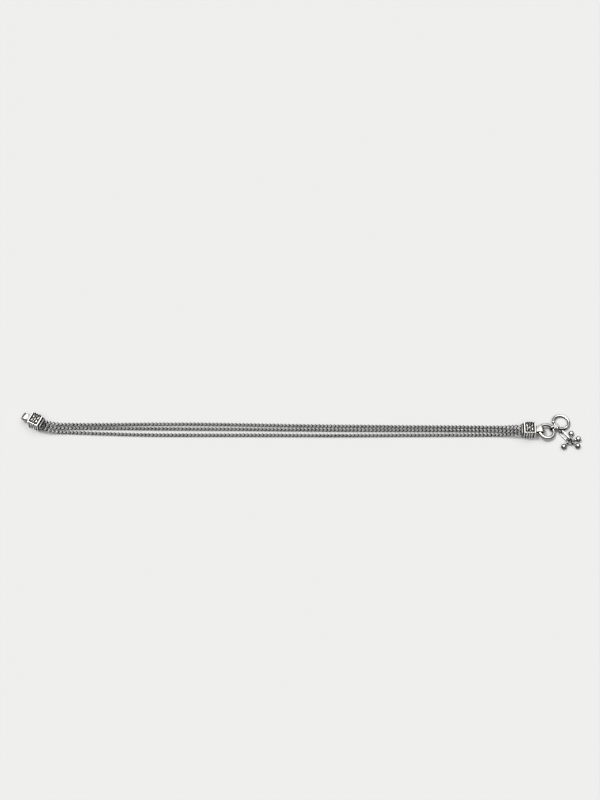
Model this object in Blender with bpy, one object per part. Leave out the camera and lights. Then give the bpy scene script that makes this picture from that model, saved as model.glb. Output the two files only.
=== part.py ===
# Silver anklet, laid open and straight on a table.
# Three chains run between two cast caps. The right cap carries a jump ring, a round hook with a rosette,
# and a cluster of four small bells. Units are metres, +Z is up, and the table is at z = 0.
# The origin is on the table, under the middle of the anklet.

import math

import bmesh
import bpy
from mathutils import Matrix, Vector

MM = 0.001
CLEARANCE = 0.3 * MM            # air between pieces that touch on the real anklet

# Cast caps: a square block with a sunk panel on each of its four long sides
CAP_SIDE = 5.9 * MM
CAP_LENGTH = 5.5 * MM
CAP_RIM = 0.55 * MM             # flat border round a panel
CAP_EDGE_BEVEL = 0.12 * MM
PANEL_DEPTH = 0.26 * MM
PANEL_WALL_RUN = 0.06 * MM      # how far a panel's wall leans in over its depth
COLLAR_LENGTH = 1.1 * MM
COLLAR_WIDTH = 5.3 * MM
COLLAR_HEIGHT = 3.7 * MM
COLLAR_BEVEL = 0.4 * MM
RIGHT_CAP_PLACE = (107.75 * MM, 0.0)
RIGHT_CAP_TURN = 0.0
LEFT_CAP_PLACE = (-125.4 * MM, 4.5 * MM)
LEFT_CAP_TURN = math.radians(155.0)

# Raised flower in each panel
RELIEF_BELOW_RIM = 0.03 * MM
BOSS_LENGTH = 1.5 * MM
BOSS_WIDTH = 1.2 * MM
PETAL_LENGTH = 1.8 * MM
PETAL_WIDTH = 0.95 * MM
DOT_DIAMETER = 0.6 * MM
PETAL_ALONG = 0.28              # place of a petal's middle, as a share of the panel's length
PETAL_ACROSS = 0.28             # the same, as a share of the panel's width

# Oval band soldered to the outer face of each cap, its hole crosswise
BAND_REACH = 4.6 * MM           # from the cap's face to the tip
BAND_HEIGHT = 3.3 * MM
BAND_WIDTH = 3.0 * MM
BAND_WALL = 0.55 * MM
BAND_SUNK = 0.5 * MM            # how far it is let into the cap

# Chains, each as a tube of the chain's outer size
STRAND_DIAMETER = 1.6 * MM
STRAND_SPACING = 1.85 * MM       # between chains where they enter a collar
STRAND_POINTS = 64
STRAND_CROWDING = 0.5           # how much closer the points lie near the collars
STRAND_SIDES_LEVEL = 2          # bevel resolution of the tube, eight sides

# Chosen points of each chain between the collars, in millimetres: x, y and the height of its middle
STRAND_ROUTES = {
    "strand_back": [
        (-117.6, 4.10, 1.75), (-113.6, 3.95, 1.10), (-108.5, 3.95, 0.84), (-93.5, 3.98, 0.81),
        (-70.9, 4.22, 0.81), (-48.2, 4.20, 0.81), (-25.5, 3.88, 0.81), (-2.8, 3.42, 0.81),
        (19.9, 3.12, 0.81), (42.6, 2.90, 0.81), (65.3, 2.78, 0.81), (85.5, 2.60, 0.83),
        (93.2, 2.45, 1.02), (98.2, 2.20, 1.75),
    ],
    "strand_middle": [
        (-117.7, 2.05, 1.75), (-113.6, 1.96, 1.10), (-108.5, 2.02, 0.84), (-93.5, 2.05, 0.81),
        (-70.9, 1.86, 0.81), (-48.2, 1.68, 0.81), (-25.5, 1.53, 0.81), (-2.8, 1.28, 0.81),
        (19.9, 1.10, 0.81), (42.6, 0.98, 0.81), (65.3, 0.88, 0.81), (85.5, 0.70, 0.83),
        (93.2, 0.52, 1.02), (98.2, 0.26, 1.75),
    ],
    "strand_front": [
        (-117.8, -0.02, 1.75), (-113.6, -0.16, 1.10), (-108.5, -0.26, 0.84), (-93.5, -0.85, 0.81),
        (-70.9, -1.52, 0.81), (-48.2, -1.62, 0.81), (-25.5, -1.65, 0.81), (-2.8, -1.72, 0.81),
        (19.9, -1.80, 0.81), (42.6, -1.70, 0.81), (65.3, -1.62, 0.81), (85.5, -1.55, 0.83),
        (93.2, -1.60, 1.02), (98.2, -1.70, 1.75),
    ],
}
STRAND_ORDER = ("strand_back", "strand_middle", "strand_front")

# Jump ring through the right band
JUMP_DIAMETER = 8.5 * MM        # outside
JUMP_WIRE = 1.4 * MM
JUMP_SIDE_SHIFT = -0.3 * MM     # its middle lies this far across the cap's own axis

# Round hook: an open ring, joined to an eye round the jump ring
HOOK_DIAMETER = 8.8 * MM        # outside
HOOK_WIRE = 1.4 * MM
HOOK_HEADING = math.radians(37.0)        # from the jump ring's middle to the hook's
HOOK_APART = 0.35 * MM                   # between the two rings, outside to outside
HOOK_JOINT_AT = math.radians(230.0)      # where the hook is soldered, round its own middle
HOOK_SWEEP = math.radians(313.0)         # from the joint round to the free tip
HOOK_TIP_DIAMETER = 1.56 * MM
HOOK_JOINT_HEIGHT = 1.7 * MM
JOINT_BEAD_DIAMETER = 1.56 * MM

EYE_WIRE = 0.76 * MM            # eye round the jump ring
EYE_PLAY = 0.25 * MM            # air round the jump ring's wire inside the eye
EYE_AT = math.radians(36.0)     # round the jump ring

DROP_EYE_WIRE = 0.6 * MM        # small eye that holds the drop
DROP_EYE_AT = math.radians(263.0)        # round the hook
DROP_EYE_LEAN = math.radians(30.0)       # it leans square to the link that hangs in it
DROP_EYE_LIFT = 0.05 * MM

# Rosette over the joint
ROSETTE_SHIFT = (-0.42 * MM, -0.44 * MM)  # its middle from the joint
ROSETTE_BASE_DIAMETER = 2.4 * MM
ROSETTE_BASE_THICKNESS = 0.4 * MM
ROSETTE_PETALS = 6
ROSETTE_PETAL_LENGTH = 1.2 * MM
ROSETTE_PETAL_WIDTH = 0.95 * MM
ROSETTE_PETAL_CIRCLE = 1.05 * MM          # radius through the petals' middles
ROSETTE_PETAL_HEIGHT = 0.42 * MM
ROSETTE_CENTRE_DIAMETER = 1.1 * MM
ROSETTE_POST_DIAMETER = 1.4 * MM

# Drop: an oval link, a ring and four bells
LINK_LENGTH = 6.9 * MM          # outside
LINK_WIDTH = 2.7 * MM           # outside
LINK_WIRE = 0.7 * MM
LINK_PLAY = 0.2 * MM            # air round its wire inside the small eye
LINK_HEADING = math.radians(308.0)
LINK_ROLL = math.radians(52.0)

CLUSTER_DIAMETER = 3.7 * MM     # outside
CLUSTER_WIRE = 0.7 * MM
CLUSTER_SLACK = 0.25 * MM       # air between the link's end and the ring's wire
CLUSTER_ROLL = math.radians(-14.0)
CLUSTER_HEIGHT = 1.3 * MM

BELL_DIAMETER = 2.6 * MM
BELL_EYE_WIRE = 0.42 * MM
BELL_EYE_PLAY = 0.34 * MM       # air round the ring's wire inside a bell's eye
BELL_NECK_LENGTH = 0.25 * MM
BELL_NECK_DIAMETER = 0.9 * MM
BELL_SLOT_WIDTH = 0.32 * MM
BELL_SLOT_DEPTH = 0.5 * MM
BELL_EYE_SHIFT = 0.12 * MM      # a bell's eye hangs outwards on the ring's wire

# Where each bell hangs round the ring, and which way it lies, in degrees seen from above
BELLS = [
    {"name": "bell_front_left", "at": 224.0, "heading": 222.0},
    {"name": "bell_front_right", "at": 318.0, "heading": 329.0},
    {"name": "bell_right", "at": 10.0, "heading": 20.0},
    {"name": "bell_back", "at": 66.0, "heading": 84.0},
]

# Roundness of the round pieces
RING_SEGMENTS = 28
WIRE_SIDES = 10
SMALL_RING_SEGMENTS = 18
SMALL_WIRE_SIDES = 8

SILVER = (0.74, 0.73, 0.71)
DARK_SILVER = (0.22, 0.215, 0.21)


def remove_all_objects():
    for thing in list(bpy.data.objects):
        bpy.data.objects.remove(thing, do_unlink=True)


def metal(name, colour, roughness):
    finish = bpy.data.materials.new(name)
    finish.use_nodes = True
    shader = finish.node_tree.nodes["Principled BSDF"]
    shader.inputs["Base Color"].default_value = (*colour, 1.0)
    shader.inputs["Roughness"].default_value = roughness
    shader.inputs["Metallic"].default_value = 1.0
    return finish


def solid(name, shape, finish, place):
    mesh = bpy.data.meshes.new(name)
    shape.to_mesh(mesh)
    shape.free()
    thing = bpy.data.objects.new(name, mesh)
    bpy.context.scene.collection.objects.link(thing)
    thing.matrix_world = place
    mesh.materials.append(finish)
    mesh.shade_smooth()
    mesh.set_sharp_from_angle(angle=math.radians(38.0))
    return thing


def stretch(x, y, z):
    return Matrix.Diagonal((x, y, z, 1.0))


def add_ellipsoid(shape, size, place, segments=12, rings=8):
    half = stretch(size[0] / 2, size[1] / 2, size[2] / 2)
    bmesh.ops.create_uvsphere(
        shape, u_segments=segments, v_segments=rings, radius=1.0, matrix=place @ half)


def add_cylinder(shape, diameter, length, place, segments=16):
    bmesh.ops.create_cone(
        shape, cap_ends=True, segments=segments, radius1=diameter / 2, radius2=diameter / 2,
        depth=length, matrix=place)


def add_bevelled_box(shape, size, bevel, place):
    box = bmesh.ops.create_cube(shape, size=1.0, matrix=place @ stretch(*size))
    edges = {edge for corner in box["verts"] for edge in corner.link_edges}
    bmesh.ops.bevel(
        shape, geom=list(edges), offset=bevel, segments=1, profile=0.5, affect="EDGES", material=-1)


def add_ring(shape, diameter, wire, place, segments, sides, sweep=2 * math.pi):
    # A round wire bent in its own XY plane, starting on +X
    whole = sweep > 2 * math.pi - 1e-6
    start = Matrix.Translation((diameter / 2, 0, 0)) @ Matrix.Rotation(math.pi / 2, 4, "X")
    section = bmesh.ops.create_circle(
        shape, cap_ends=not whole, segments=sides, radius=wire / 2, matrix=start)
    verts = section["verts"]
    edges = list({edge for corner in verts for edge in corner.link_edges})
    faces = list({face for corner in verts for face in corner.link_faces})
    before = set(shape.verts) - set(verts)
    bmesh.ops.spin(
        shape, geom=verts + edges + faces, cent=(0, 0, 0), axis=(0, 0, 1), angle=sweep,
        steps=segments, use_merge=whole)
    made = [corner for corner in shape.verts if corner not in before]
    bmesh.ops.transform(shape, matrix=place, verts=made)
    bmesh.ops.recalc_face_normals(
        shape, faces=list({face for corner in made for face in corner.link_faces}))


def add_oval_link(shape, length, width, wire, place, end_steps, sides):
    # An open oval turned in quarters: two half rings joined by straight wire
    bend = (width - wire) / 2
    straight = (length - width) / 2
    ends = []
    for turn in (0.0, math.pi):
        around = Matrix.Rotation(turn, 4, "Z") @ Matrix.Translation((straight, 0, 0))
        start = around @ Matrix.Translation((0, -bend, 0)) @ Matrix.Rotation(math.pi / 2, 4, "Y")
        section = bmesh.ops.create_circle(
            shape, cap_ends=False, segments=sides, radius=wire / 2, matrix=start)
        first = list({edge for corner in section["verts"] for edge in corner.link_edges})
        swept = bmesh.ops.spin(
            shape, geom=section["verts"] + first, cent=around.translation, axis=(0, 0, 1),
            angle=math.pi, steps=end_steps)
        last = [item for item in swept["geom_last"] if isinstance(item, bmesh.types.BMEdge)]
        ends.append((first, last))
    for (first, _), (_, last) in ((ends[0], ends[1]), (ends[1], ends[0])):
        bmesh.ops.bridge_loops(shape, edges=first + last)
    bmesh.ops.transform(shape, matrix=place, verts=shape.verts)
    bmesh.ops.recalc_face_normals(shape, faces=shape.faces)


def joined(shapes, finish):
    # Boolean union of closed shapes, in turn, as one mesh
    identity = Matrix.Identity(4)
    whole = solid("union_target", shapes[0], finish, identity)
    for shape in shapes[1:]:
        added = solid("union_part", shape, finish, identity)
        union = whole.modifiers.new("union", "BOOLEAN")
        union.operation = "UNION"
        union.solver = "EXACT"
        union.use_self = True
        union.object = added
        bpy.context.view_layer.update()
        seen = whole.evaluated_get(bpy.context.evaluated_depsgraph_get())
        result = bmesh.new()
        result.from_mesh(seen.to_mesh())
        seen.to_mesh_clear()
        bpy.data.objects.remove(added, do_unlink=True)
        bpy.data.objects.remove(whole, do_unlink=True)
        whole = solid("union_target", result, finish, identity)
    shape = bmesh.new()
    shape.from_mesh(whole.data)
    bpy.data.objects.remove(whole, do_unlink=True)
    return shape


def cut(shape, cutter, finish):
    identity = Matrix.Identity(4)
    body = solid("cut_target", shape, finish, identity)
    tool = solid("cut_tool", cutter, finish, identity)
    cutting = body.modifiers.new("cut", "BOOLEAN")
    cutting.operation = "DIFFERENCE"
    cutting.solver = "EXACT"
    cutting.object = tool
    bpy.context.view_layer.update()
    seen = body.evaluated_get(bpy.context.evaluated_depsgraph_get())
    result = bmesh.new()
    result.from_mesh(seen.to_mesh())
    seen.to_mesh_clear()
    bpy.data.objects.remove(tool, do_unlink=True)
    bpy.data.objects.remove(body, do_unlink=True)
    return result


def cap_place(place, turn):
    # Middle of a cap's block, with +X towards its band
    return Matrix.Translation((place[0], place[1], CAP_SIDE / 2)) @ Matrix.Rotation(turn, 4, "Z")


def cap_block():
    block = bmesh.new()
    add_bevelled_box(block, (CAP_LENGTH, CAP_SIDE, CAP_SIDE), CAP_EDGE_BEVEL, Matrix.Identity(4))
    wide = (CAP_SIDE / 2) ** 2
    panels = [face for face in block.faces if face.calc_area() > wide and abs(face.normal.x) < 0.5]
    bmesh.ops.inset_individual(block, faces=panels, thickness=CAP_RIM - CAP_EDGE_BEVEL, depth=0.0)
    bmesh.ops.inset_individual(block, faces=panels, thickness=PANEL_WALL_RUN, depth=-PANEL_DEPTH)
    return block


def cap_fittings():
    # Collar over the chains' ends on the inner face, and the oval band on the outer face
    fittings = bmesh.new()
    sunk = CAP_RIM / 2
    collar_size = (COLLAR_LENGTH + sunk + COLLAR_BEVEL, COLLAR_WIDTH, COLLAR_HEIGHT)
    collar_middle = -CAP_LENGTH / 2 - COLLAR_LENGTH + collar_size[0] / 2
    add_bevelled_box(fittings, collar_size, COLLAR_BEVEL, Matrix.Translation((collar_middle, 0, 0)))

    long = BAND_REACH + BAND_SUNK
    outer = stretch(long / 2, BAND_HEIGHT / 2, 1.0)
    inner = stretch(long / 2 - BAND_WALL, BAND_HEIGHT / 2 - BAND_WALL, 1.0)
    upright = Matrix.Translation((band_middle(), BAND_WIDTH / 2, 0)) @ Matrix.Rotation(math.pi / 2, 4, "X")
    rims = []
    for size in (outer, inner):
        circle = bmesh.ops.create_circle(
            fittings, cap_ends=False, segments=24, radius=1.0, matrix=upright @ size)
        rims += list({edge for corner in circle["verts"] for edge in corner.link_edges})
    side = bmesh.ops.bridge_loops(fittings, edges=rims)
    grown = bmesh.ops.extrude_face_region(fittings, geom=side["faces"])
    moved = [item for item in grown["geom"] if isinstance(item, bmesh.types.BMVert)]
    bmesh.ops.translate(fittings, verts=moved, vec=(0, -BAND_WIDTH, 0))
    bmesh.ops.recalc_face_normals(fittings, faces=fittings.faces)
    return fittings


def band_middle():
    # From the middle of the cap to the middle of the band, along the cap
    return CAP_LENGTH / 2 + (BAND_REACH - BAND_SUNK) / 2


def cap_relief():
    # Boss, four petals and four dots, raised in each of the four panels
    relief = bmesh.new()
    tall = 2 * (PANEL_DEPTH - RELIEF_BELOW_RIM)
    panel_long = CAP_LENGTH - 2 * (CAP_RIM + PANEL_WALL_RUN)
    panel_wide = CAP_SIDE - 2 * (CAP_RIM + PANEL_WALL_RUN)
    ground = CAP_SIDE / 2 - PANEL_DEPTH
    for quarter in range(4):
        panel = Matrix.Rotation(quarter * math.pi / 2, 4, "X") @ Matrix.Translation((0, 0, ground))
        add_ellipsoid(relief, (BOSS_LENGTH, BOSS_WIDTH, tall), panel, segments=12, rings=6)
        for along in (-1, 1):
            for across in (-1, 1):
                x = along * PETAL_ALONG * panel_long
                y = across * PETAL_ACROSS * panel_wide
                lean = Matrix.Rotation(math.atan2(y, x), 4, "Z")
                place = panel @ Matrix.Translation((x, y, 0)) @ lean
                add_ellipsoid(relief, (PETAL_LENGTH, PETAL_WIDTH, tall), place, segments=8, rings=6)
        edge_long = (panel_long - DOT_DIAMETER) / 2 - RELIEF_BELOW_RIM
        edge_wide = (panel_wide - DOT_DIAMETER) / 2 - RELIEF_BELOW_RIM
        for x, y in ((-edge_long, 0), (edge_long, 0), (0, -edge_wide), (0, edge_wide)):
            place = panel @ Matrix.Translation((x, y, 0))
            add_ellipsoid(relief, (DOT_DIAMETER, DOT_DIAMETER, tall), place, segments=8, rings=6)
    return relief


def end_cap(name, place, turn, finish):
    shape = joined([cap_block(), cap_fittings(), cap_relief()], finish)
    return solid(name, shape, finish, cap_place(place, turn))


def collar_exit(place, turn, across):
    # Where a chain's middle leaves a collar, and the way it points
    frame = cap_place(place, turn)
    out = frame.to_3x3() @ Vector((-1, 0, 0))
    point = frame @ Vector((-CAP_LENGTH / 2 - COLLAR_LENGTH, across, 0))
    return point, out


def smooth_route(points, count, crowding):
    # Points on a Catmull-Rom curve through the given ones, closer together towards its ends
    padded = [2 * points[0] - points[1]] + points + [2 * points[-1] - points[-2]]
    fine = []
    for a, b, c, d in zip(padded, padded[1:], padded[2:], padded[3:]):
        for step in range(24):
            t = step / 24
            fine.append(0.5 * (2 * b + (c - a) * t + (2 * a - 5 * b + 4 * c - d) * t * t
                               + (3 * b - a - 3 * c + d) * t * t * t))
    fine.append(points[-1])
    travelled = [0.0]
    for before, after in zip(fine, fine[1:]):
        travelled.append(travelled[-1] + (after - before).length)
    route = []
    spot = 0
    for number in range(count):
        even = number / (count - 1)
        eased = even - crowding * math.sin(2 * math.pi * even) / (2 * math.pi)
        goal = travelled[-1] * eased
        while spot < len(fine) - 2 and travelled[spot + 1] < goal:
            spot += 1
        share = (goal - travelled[spot]) / (travelled[spot + 1] - travelled[spot])
        route.append(fine[spot].lerp(fine[spot + 1], share))
    return route


def strand(name, finish):
    row = 1 - STRAND_ORDER.index(name)
    across = row * STRAND_SPACING
    left, left_way = collar_exit(LEFT_CAP_PLACE, LEFT_CAP_TURN, -across)
    right, right_way = collar_exit(RIGHT_CAP_PLACE, RIGHT_CAP_TURN, across)
    chosen = [Vector(point) * MM for point in STRAND_ROUTES[name]]
    ends = [[end + way * CLEARANCE, end + way * STRAND_DIAMETER] for end, way in
            ((left, left_way), (right, right_way))]
    route = smooth_route(ends[0] + chosen + ends[1][::-1], STRAND_POINTS, STRAND_CROWDING)
    curve = bpy.data.curves.new(name, "CURVE")
    curve.dimensions = "3D"
    curve.bevel_depth = STRAND_DIAMETER / 2
    curve.bevel_resolution = STRAND_SIDES_LEVEL
    curve.use_fill_caps = True
    spline = curve.splines.new("POLY")
    spline.points.add(STRAND_POINTS - 1)
    for spot, point in zip(spline.points, route):
        spot.co = (*point, 1.0)
    spline.use_smooth = True
    curve.materials.append(finish)
    thing = bpy.data.objects.new(name, curve)
    bpy.context.scene.collection.objects.link(thing)
    return thing


def eye_radius():
    # Middle of the big eye's wire, round the jump ring's wire
    return JUMP_WIRE / 2 + EYE_PLAY + EYE_WIRE / 2


def jump_ring_place():
    # It hangs in the band's hole at one side and lies in the hook's eye at the other
    radius = (JUMP_DIAMETER - JUMP_WIRE) / 2
    frame = cap_place(RIGHT_CAP_PLACE, RIGHT_CAP_TURN)
    held = frame @ Vector((band_middle(), JUMP_SIDE_SHIFT, 0))
    eye_height = eye_radius() + EYE_WIRE / 2
    dip = math.asin((held.z - eye_height) / (radius * (1 + math.cos(EYE_AT))))
    tilt = Matrix.Rotation(dip, 4, "Y")
    return Matrix.Translation(held + tilt @ Vector((radius, 0, 0))) @ tilt


def jump_ring(finish):
    shape = bmesh.new()
    add_ring(shape, JUMP_DIAMETER - JUMP_WIRE, JUMP_WIRE, Matrix.Identity(4), RING_SEGMENTS, WIRE_SIDES)
    return solid("jump_ring", shape, finish, jump_ring_place())


def heading(angle):
    return Vector((math.cos(angle), math.sin(angle), 0))


def hook_frame():
    # Middle of the hook's ring, with +X towards the soldered joint and sloping up to it
    apart = (JUMP_DIAMETER + HOOK_DIAMETER) / 2 + HOOK_APART
    middle = jump_ring_place().translation + apart * heading(HOOK_HEADING)
    radius = (HOOK_DIAMETER - HOOK_WIRE) / 2
    low = HOOK_WIRE / 2
    middle.z = (HOOK_JOINT_HEIGHT + low) / 2
    rise = math.asin((HOOK_JOINT_HEIGHT - low) / (2 * radius))
    return (Matrix.Translation(middle) @ Matrix.Rotation(HOOK_JOINT_AT, 4, "Z")
            @ Matrix.Rotation(-rise, 4, "Y"))


def drop_eye_radius():
    return LINK_WIRE / 2 + LINK_PLAY + DROP_EYE_WIRE / 2


def drop_eye_middle():
    inner = drop_eye_radius() - DROP_EYE_WIRE / 2
    spot = hook_frame().translation + heading(DROP_EYE_AT) * (HOOK_DIAMETER / 2 + inner)
    spot.z = drop_eye_radius() + DROP_EYE_WIRE / 2 + DROP_EYE_LIFT
    return spot


def upright_ring(middle, way, lean=0.0):
    # A ring that stands on edge, its plane holding the way it points
    return (Matrix.Translation(middle) @ Matrix.Rotation(way, 4, "Z")
            @ Matrix.Rotation(math.pi / 2 + lean, 4, "X"))


def rosette(middle, base_height):
    flower = bmesh.new()
    base = Matrix.Translation((middle.x, middle.y, base_height + ROSETTE_BASE_THICKNESS / 2))
    add_cylinder(flower, ROSETTE_BASE_DIAMETER, ROSETTE_BASE_THICKNESS, base, segments=18)
    petals = []
    top = Matrix.Translation((middle.x, middle.y, base_height + ROSETTE_BASE_THICKNESS * 0.75))
    size = (ROSETTE_PETAL_LENGTH, ROSETTE_PETAL_WIDTH, 2 * ROSETTE_PETAL_HEIGHT)
    for number in range(ROSETTE_PETALS):
        turn = Matrix.Rotation(2 * math.pi * number / ROSETTE_PETALS, 4, "Z")
        petal = bmesh.new()
        add_ellipsoid(petal, size, top @ turn @ Matrix.Translation((ROSETTE_PETAL_CIRCLE, 0, 0)), 8, 6)
        petals.append(petal)
    centre = bmesh.new()
    add_ellipsoid(centre, (ROSETTE_CENTRE_DIAMETER,) * 3, top, 10, 6)
    return [flower] + petals + [centre]


def clasp_hook(finish):
    frame = hook_frame()
    radius = (HOOK_DIAMETER - HOOK_WIRE) / 2
    joint = frame @ Vector((radius, 0, 0))
    tip = frame @ (radius * heading(HOOK_SWEEP))

    bow = bmesh.new()
    add_ring(bow, 2 * radius, HOOK_WIRE, frame, RING_SEGMENTS, WIRE_SIDES, HOOK_SWEEP)
    ball = bmesh.new()
    add_ellipsoid(ball, (HOOK_TIP_DIAMETER,) * 3, Matrix.Translation(tip), 12, 8)
    bead = bmesh.new()
    add_ellipsoid(bead, (JOINT_BEAD_DIAMETER,) * 3, Matrix.Translation(joint), 12, 8)

    jump = jump_ring_place()
    jump_radius = (JUMP_DIAMETER - JUMP_WIRE) / 2
    eye_middle = jump @ (jump_radius * heading(EYE_AT))
    eye = bmesh.new()
    add_ring(eye, 2 * eye_radius(), EYE_WIRE, upright_ring(eye_middle, EYE_AT),
             SMALL_RING_SEGMENTS, SMALL_WIRE_SIDES)
    drop_eye = bmesh.new()
    add_ring(drop_eye, 2 * drop_eye_radius(), DROP_EYE_WIRE,
             upright_ring(drop_eye_middle(), LINK_HEADING, DROP_EYE_LEAN),
             SMALL_RING_SEGMENTS, SMALL_WIRE_SIDES)

    # The rosette clears the jump ring's wire, which passes under it
    base_height = eye_middle.z + JUMP_WIRE / 2 + CLEARANCE
    middle = joint + Vector((*ROSETTE_SHIFT, 0))
    post_length = base_height + ROSETTE_BASE_THICKNESS / 2 - joint.z
    post = bmesh.new()
    post_place = Matrix.Translation((joint.x, joint.y, joint.z + post_length / 2))
    add_cylinder(post, ROSETTE_POST_DIAMETER, post_length, post_place)

    shape = joined([bow, ball, bead, eye, drop_eye, post] + rosette(middle, base_height), finish)
    bmesh.ops.translate(shape, verts=shape.verts, vec=-frame.translation)
    return solid("clasp_hook", shape, finish, Matrix.Translation(frame.translation))


def link_frame():
    # Middle of the oval link, with +X towards the cluster
    reach = (LINK_LENGTH - LINK_WIRE) / 2
    turned = Matrix.Rotation(LINK_HEADING, 4, "Z") @ Matrix.Rotation(LINK_ROLL, 4, "X")
    return Matrix.Translation(drop_eye_middle() + turned @ Vector((reach, 0, 0))) @ turned


def drop_link(finish):
    shape = bmesh.new()
    add_oval_link(shape, LINK_LENGTH, LINK_WIDTH, LINK_WIRE, Matrix.Identity(4), 8, SMALL_WIRE_SIDES)
    return solid("drop_link", shape, finish, link_frame())


def cluster_frame():
    # Middle of the ring that carries the bells, with +X along the link
    link_end = link_frame() @ Vector(((LINK_LENGTH - LINK_WIRE) / 2, 0, 0))
    inside = (LINK_WIRE + CLUSTER_WIRE) / 2 + CLUSTER_SLACK
    radius = (CLUSTER_DIAMETER - CLUSTER_WIRE) / 2
    middle = link_end + heading(LINK_HEADING) * (radius - inside)
    middle.z = CLUSTER_HEIGHT
    return (Matrix.Translation(middle) @ Matrix.Rotation(LINK_HEADING, 4, "Z")
            @ Matrix.Rotation(CLUSTER_ROLL, 4, "X"))


def cluster_ring(finish):
    shape = bmesh.new()
    add_ring(shape, CLUSTER_DIAMETER - CLUSTER_WIRE, CLUSTER_WIRE, Matrix.Identity(4),
             SMALL_RING_SEGMENTS, SMALL_WIRE_SIDES)
    return solid("cluster_ring", shape, finish, cluster_frame())


def bell_shape(finish):
    # Eye round the origin, ball along +X
    eye_middle = CLUSTER_WIRE / 2 + BELL_EYE_PLAY + BELL_EYE_WIRE / 2
    ball_middle = bell_reach()
    eye = bmesh.new()
    add_ring(eye, 2 * eye_middle, BELL_EYE_WIRE, Matrix.Rotation(math.pi / 2, 4, "X"), 14, 6)
    ball = bmesh.new()
    along = Matrix.Translation((ball_middle, 0, 0)) @ Matrix.Rotation(math.pi / 2, 4, "Y")
    add_ellipsoid(ball, (BELL_DIAMETER,) * 3, along, 14, 9)
    neck = bmesh.new()
    neck_length = ball_middle - BELL_DIAMETER / 2 - eye_middle + BELL_DIAMETER / 4
    neck_middle = eye_middle + neck_length / 2
    add_cylinder(neck, BELL_NECK_DIAMETER, neck_length,
                 Matrix.Translation((neck_middle, 0, 0)) @ Matrix.Rotation(math.pi / 2, 4, "Y"), 10)
    shape = joined([ball, neck, eye], finish)
    slot = bmesh.new()
    deep = Matrix.Translation((ball_middle + BELL_DIAMETER / 2, 0, 0))
    size = (2 * BELL_SLOT_DEPTH, BELL_SLOT_WIDTH, 2 * BELL_DIAMETER)
    bmesh.ops.create_cube(slot, size=1.0, matrix=deep @ stretch(*size))
    return cut(shape, slot, finish)


def bell_reach():
    # From the middle of a bell's eye to the middle of its ball
    eye_outside = CLUSTER_WIRE / 2 + BELL_EYE_PLAY + BELL_EYE_WIRE
    return eye_outside + BELL_NECK_LENGTH + BELL_DIAMETER / 2


def bell_frame(bell):
    frame = cluster_frame()
    radius = (CLUSTER_DIAMETER - CLUSTER_WIRE) / 2
    tilt_free = math.radians(bell["at"]) - LINK_HEADING
    wire = frame @ (radius * heading(tilt_free))
    way = heading(math.radians(bell["heading"]))
    middle = wire + way * BELL_EYE_SHIFT
    eye_outside = CLUSTER_WIRE / 2 + BELL_EYE_PLAY + BELL_EYE_WIRE
    middle.z = max(middle.z, eye_outside)
    dip = math.asin((middle.z - BELL_DIAMETER / 2) / bell_reach())
    return (Matrix.Translation(middle) @ Matrix.Rotation(math.radians(bell["heading"]), 4, "Z")
            @ Matrix.Rotation(dip, 4, "Y"))


def bells(finish):
    for bell in BELLS:
        solid(bell["name"], bell_shape(finish), finish, bell_frame(bell))


def build():
    remove_all_objects()
    bright = metal("polished_silver", SILVER, 0.22)
    cast = metal("oxidised_cast_silver", DARK_SILVER, 0.45)
    woven = metal("silver_chain", SILVER, 0.35)
    end_cap("left_end_cap", LEFT_CAP_PLACE, LEFT_CAP_TURN, cast)
    end_cap("right_end_cap", RIGHT_CAP_PLACE, RIGHT_CAP_TURN, cast)
    for name in STRAND_ORDER:
        strand(name, woven)
    jump_ring(bright)
    clasp_hook(bright)
    drop_link(bright)
    cluster_ring(bright)
    bells(bright)


build()
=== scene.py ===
# Silver anklet laid open: fine foxtail chains, cast end caps, ring hook, rosette and bells
import math

import bmesh
import bpy
from mathutils import Matrix, Vector


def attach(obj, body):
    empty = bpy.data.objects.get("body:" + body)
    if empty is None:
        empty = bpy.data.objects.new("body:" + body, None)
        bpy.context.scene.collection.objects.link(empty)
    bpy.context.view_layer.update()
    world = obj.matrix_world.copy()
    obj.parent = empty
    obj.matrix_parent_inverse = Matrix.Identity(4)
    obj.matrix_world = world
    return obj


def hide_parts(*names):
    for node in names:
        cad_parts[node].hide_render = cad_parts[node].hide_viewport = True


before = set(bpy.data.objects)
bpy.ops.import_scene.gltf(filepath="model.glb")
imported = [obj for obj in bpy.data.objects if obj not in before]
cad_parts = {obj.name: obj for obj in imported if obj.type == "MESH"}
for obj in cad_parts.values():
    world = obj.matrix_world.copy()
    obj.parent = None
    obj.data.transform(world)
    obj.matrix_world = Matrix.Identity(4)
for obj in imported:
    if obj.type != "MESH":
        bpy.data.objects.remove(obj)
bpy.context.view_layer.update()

mm = 0.001


# Small helpers; lengths are in millimetres and angles in degrees, unless a note says otherwise

def turned(degrees, axis):
    return Matrix.Rotation(math.radians(degrees), 4, axis)


def moved(x, y, z):
    return Matrix.Translation((x * mm, y * mm, z * mm))


def sized(x, y, z):
    return Matrix.Diagonal((x, y, z, 1.0))


def heading(degrees):
    return Vector((math.cos(math.radians(degrees)), math.sin(math.radians(degrees)), 0))


def eased(value):
    # Smooth rise from 0 to 1
    value = min(1.0, max(0.0, value))
    return value * value * (3 - 2 * value)


def edgesOf(verts):
    return list(dict.fromkeys(edge for vert in verts for edge in vert.link_edges))


def facesOf(verts):
    return list(dict.fromkeys(face for vert in verts for face in vert.link_faces))


def linked(name, data):
    thing = bpy.data.objects.new(name, data)
    bpy.context.scene.collection.objects.link(thing)
    return thing


def meshFrom(name, shape):
    mesh = bpy.data.meshes.new(name)
    shape.to_mesh(mesh)
    shape.free()
    return mesh


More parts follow.
